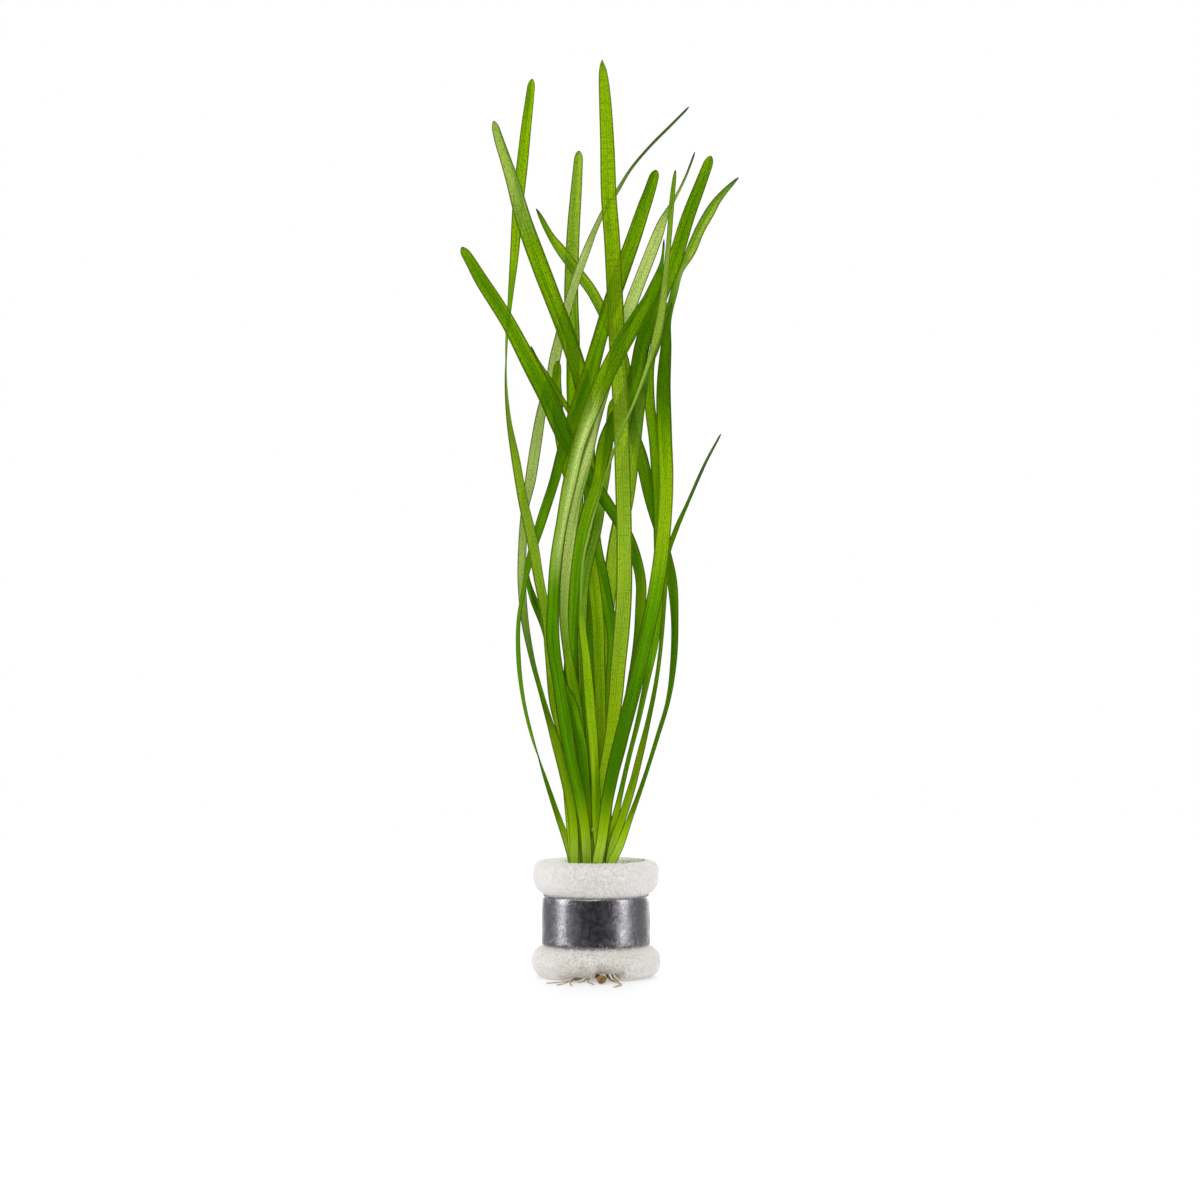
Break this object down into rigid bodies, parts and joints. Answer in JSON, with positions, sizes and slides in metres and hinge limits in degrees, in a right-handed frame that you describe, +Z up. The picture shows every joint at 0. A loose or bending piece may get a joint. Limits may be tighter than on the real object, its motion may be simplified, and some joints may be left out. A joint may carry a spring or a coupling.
{
  "type": "vallisneria bunch",
  "caption": "Bunch of ribbon-leaved vallisneria standing in a rolled white foam collar that a bent lead strip holds and weighs down, with thin roots lying in front.",
  "frame": {"origin": "on the surface that the bunch stands on, under the middle of its box", "axes": "+Z up along the leaves, -Y to the front, where the roots lie"},
  "size_m": [0.0696, 0.0518, 0.2294],
  "materials": {
    "leaf_green": "fresh green leaf, smooth and slightly glossy, lit through",
    "crown_pale": "pale green crown, matte",
    "root_beige": "thin pale root, matte",
    "runner_brown": "brown runner, rough",
    "foam_white": "open-cell foam, matte, granular",
    "lead_grey": "dull rolled lead with brighter worn patches"
  },
  "bodies": {
    "root": {"leaf_01": "leaf_green", "leaf_02": "leaf_green", "leaf_03": "leaf_green", "leaf_04": "leaf_green", "leaf_05": "leaf_green", "leaf_06": "leaf_green", "leaf_07": "leaf_green", "leaf_08": "leaf_green", "leaf_09": "leaf_green", "leaf_10": "leaf_green", "leaf_11": "leaf_green", "leaf_12": "leaf_green", "leaf_13": "leaf_green", "leaf_14": "leaf_green", "leaf_15": "leaf_green", "leaf_16": "leaf_green", "leaf_17": "leaf_green", "leaf_18": "leaf_green", "leaf_19": "leaf_green", "leaf_20": "leaf_green", "crown_left": "crown_pale", "crown_middle": "crown_pale", "crown_right": "crown_pale", "root_1": "root_beige", "root_2": "root_beige", "root_3": "root_beige", "root_4": "root_beige", "root_5": "root_beige", "root_6": "root_beige", "root_7": "root_beige", "runner_stub": "runner_brown", "foam_collar": "foam_white", "lead_band": "lead_grey"}
  },
  "joints": []
}
